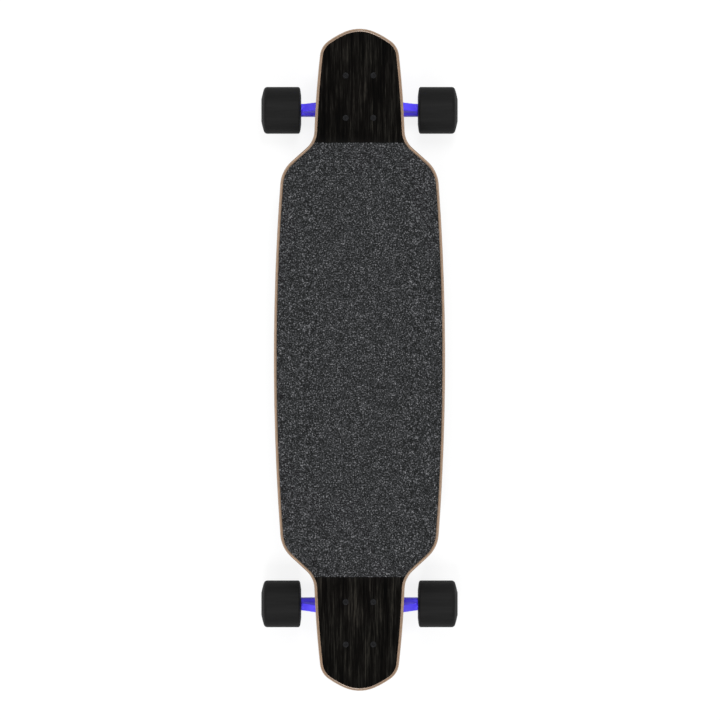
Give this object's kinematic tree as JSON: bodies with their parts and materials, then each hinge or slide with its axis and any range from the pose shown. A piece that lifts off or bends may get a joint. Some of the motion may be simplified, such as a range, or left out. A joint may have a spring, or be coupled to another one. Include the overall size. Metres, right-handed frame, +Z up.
{
  "type": "longboard skateboard",
  "caption": "drop-deck longboard skateboard with a grip-taped platform, reverse-kingpin trucks and wide urethane wheels",
  "frame": {"origin": "on the ground, midway between the four wheels", "axes": "+X across the board to the right, +Y towards the nose, +Z up from the ground"},
  "size_m": [0.2936, 0.9908, 0.112],
  "materials": {
    "maple": "satin clear-coated maple edge",
    "black_stained_maple": "black stain under a satin lacquer",
    "grip_tape": "black silicon carbide grit on a cloth backing",
    "violet_paint": "gloss violet-blue enamel on cast aluminium",
    "zinc_steel": "bright zinc plated steel",
    "black_steel": "black oxide steel",
    "axle_steel": "ground steel",
    "bearing_steel": "polished bearing steel",
    "shield_rubber": "moulded black rubber seal",
    "spacer_aluminium": "plain turned aluminium",
    "bushing_urethane": "cast black urethane",
    "cup_urethane": "cast black urethane",
    "wheel_urethane": "satin black cast urethane",
    "core_plastic": "moulded black nylon"
  },
  "bodies": {
    "deck": {"deck_core": "maple", "deck_top_veneer": "black_stained_maple", "deck_bottom_veneer": "black_stained_maple", "grip_tape": "grip_tape", "front_baseplate": "violet_paint", "front_kingpin": "zinc_steel", "front_kingpin_nut": "zinc_steel", "front_kingpin_washers": "zinc_steel", "front_boardside_bushing": "bushing_urethane", "front_roadside_bushing": "bushing_urethane", "front_pivot_cup": "cup_urethane", "front_mounting_bolts": "black_steel", "front_mounting_nuts": "black_steel", "rear_baseplate": "violet_paint", "rear_kingpin": "zinc_steel", "rear_kingpin_nut": "zinc_steel", "rear_kingpin_washers": "zinc_steel", "rear_boardside_bushing": "bushing_urethane", "rear_roadside_bushing": "bushing_urethane", "rear_pivot_cup": "cup_urethane", "rear_mounting_bolts": "black_steel", "rear_mounting_nuts": "black_steel"},
    "front_hanger": {"front_hanger": "violet_paint", "front_axle": "axle_steel", "front_speed_washers": "zinc_steel", "front_bearing_inner_rings": "bearing_steel", "front_bearing_spacers": "spacer_aluminium", "front_axle_nuts": "zinc_steel"},
    "front_left_wheel": {"front_left_tyre": "wheel_urethane", "front_left_wheel_core": "core_plastic", "front_left_bearing_outer_rings": "bearing_steel", "front_left_bearing_shields": "shield_rubber", "front_left_ball_rings": "bearing_steel"},
    "front_right_wheel": {"front_right_tyre": "wheel_urethane", "front_right_wheel_core": "core_plastic", "front_right_bearing_outer_rings": "bearing_steel", "front_right_bearing_shields": "shield_rubber", "front_right_ball_rings": "bearing_steel"},
    "rear_hanger": {"rear_hanger": "violet_paint", "rear_axle": "axle_steel", "rear_speed_washers": "zinc_steel", "rear_bearing_inner_rings": "bearing_steel", "rear_bearing_spacers": "spacer_aluminium", "rear_axle_nuts": "zinc_steel"},
    "rear_left_wheel": {"rear_left_tyre": "wheel_urethane", "rear_left_wheel_core": "core_plastic", "rear_left_bearing_outer_rings": "bearing_steel", "rear_left_bearing_shields": "shield_rubber", "rear_left_ball_rings": "bearing_steel"},
    "rear_right_wheel": {"rear_right_tyre": "wheel_urethane", "rear_right_wheel_core": "core_plastic", "rear_right_bearing_outer_rings": "bearing_steel", "rear_right_bearing_shields": "shield_rubber", "rear_right_ball_rings": "bearing_steel"}
  },
  "joints": [
    {"name": "front_steer", "type": "hinge", "parent": "deck", "child": "front_hanger", "pos_m": [0, 0.38824, 0.07002], "axis": [0, 0.6428, 0.766], "range_deg": [-15, 15], "stiffness_Nm_per_rad": 30, "deforming": ["front_boardside_bushing", "front_roadside_bushing"]},
    {"name": "front_left_spin", "type": "hinge", "parent": "front_hanger", "child": "front_left_wheel", "pos_m": [-0.1055, 0.3693, 0.035], "axis": [1, 0, 0], "continuous": true},
    {"name": "front_right_spin", "type": "hinge", "parent": "front_hanger", "child": "front_right_wheel", "pos_m": [0.1055, 0.3693, 0.035], "axis": [1, 0, 0], "continuous": true},
    {"name": "rear_steer", "type": "hinge", "parent": "deck", "child": "rear_hanger", "pos_m": [0, -0.38824, 0.07002], "axis": [0, -0.6428, 0.766], "range_deg": [-15, 15], "stiffness_Nm_per_rad": 30, "deforming": ["rear_boardside_bushing", "rear_roadside_bushing"]},
    {"name": "rear_left_spin", "type": "hinge", "parent": "rear_hanger", "child": "rear_left_wheel", "pos_m": [-0.1055, -0.3693, 0.035], "axis": [1, 0, 0], "continuous": true},
    {"name": "rear_right_spin", "type": "hinge", "parent": "rear_hanger", "child": "rear_right_wheel", "pos_m": [0.1055, -0.3693, 0.035], "axis": [1, 0, 0], "continuous": true}
  ]
}
